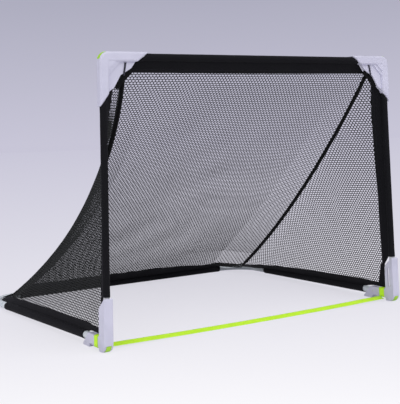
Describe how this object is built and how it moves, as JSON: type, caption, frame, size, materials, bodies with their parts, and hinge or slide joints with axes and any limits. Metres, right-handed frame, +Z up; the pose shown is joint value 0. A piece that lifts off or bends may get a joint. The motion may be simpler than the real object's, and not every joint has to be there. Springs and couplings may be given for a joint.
{
  "type": "portable soccer goal",
  "caption": "Small folding soccer goal: upright tube frame with moulded corners that folds back over a floor hoop, with sleeved net and goal-line strap.",
  "frame": {"origin": "middle of the goal on the ground: centre of the bounding box's bottom face", "axes": "+X along the crossbar towards the right post as seen from the field, +Y from the goal mouth towards the back of the net, +Z up"},
  "size_m": [1.253, 1.095, 0.9],
  "materials": {
    "corner_plastic": "satin moulded, light lavender grey",
    "bumper_rubber": "matt, bright yellow green",
    "coated_tube": "satin powder coat, light grey",
    "plain_tube": "plain drawn tube, hidden",
    "steel_hardware": "zinc plated",
    "plug_plastic": "moulded, black",
    "border_fabric": "woven, black",
    "net_cord": "knitted net, black",
    "accent_webbing": "woven webbing, neon yellow green",
    "elastic": "elastic strap, black"
  },
  "bodies": {
    "base": {"back_net": "net_cord", "goal_line_webbing": "accent_webbing", "left_floor_border": "border_fabric", "left_floor_sleeve": "border_fabric", "left_floor_tube": "coated_tube", "left_foot_bumper": "bumper_rubber", "left_foot_corner": "corner_plastic", "left_foot_rivet": "steel_hardware", "left_net_rib": "border_fabric", "left_pivot_pin": "steel_hardware", "left_rear_spigot": "plain_tube", "left_side_net": "net_cord", "left_webbing_loop": "accent_webbing", "rear_border": "border_fabric", "rear_sleeve": "border_fabric", "rear_tube": "coated_tube", "right_floor_border": "border_fabric", "right_floor_sleeve": "border_fabric", "right_floor_tube": "coated_tube", "right_foot_bumper": "bumper_rubber", "right_foot_corner": "corner_plastic", "right_foot_rivet": "steel_hardware", "right_net_rib": "border_fabric", "right_pivot_pin": "steel_hardware", "right_rear_spigot": "plain_tube", "right_side_net": "net_cord", "right_webbing_loop": "accent_webbing"},
    "front_frame": {"crossbar_border": "border_fabric", "crossbar_sleeve": "border_fabric", "crossbar_tube": "plain_tube", "left_crossbar_rivet": "steel_hardware", "left_elastic_strap": "elastic", "left_foot_plug": "plug_plastic", "left_post_border": "border_fabric", "left_post_rivet": "steel_hardware", "left_post_sleeve": "border_fabric", "left_post_tube": "plain_tube", "left_top_bumper": "bumper_rubber", "left_top_corner": "corner_plastic", "left_top_patch": "border_fabric", "right_crossbar_rivet": "steel_hardware", "right_elastic_strap": "elastic", "right_foot_plug": "plug_plastic", "right_post_border": "border_fabric", "right_post_rivet": "steel_hardware", "right_post_sleeve": "border_fabric", "right_post_tube": "plain_tube", "right_top_bumper": "bumper_rubber", "right_top_corner": "corner_plastic", "right_top_patch": "border_fabric"}
  },
  "joints": [
    {"name": "frame_fold", "type": "hinge", "parent": "base", "child": "front_frame", "pos_m": [0, -0.5325, 0.06], "axis": [-1, 0, 0], "range_deg": [0, 90], "deforming": ["back_net", "left_side_net", "right_side_net", "left_net_rib", "right_net_rib", "left_floor_border", "right_floor_border", "left_post_border", "right_post_border", "crossbar_border", "rear_border"]}
  ]
}
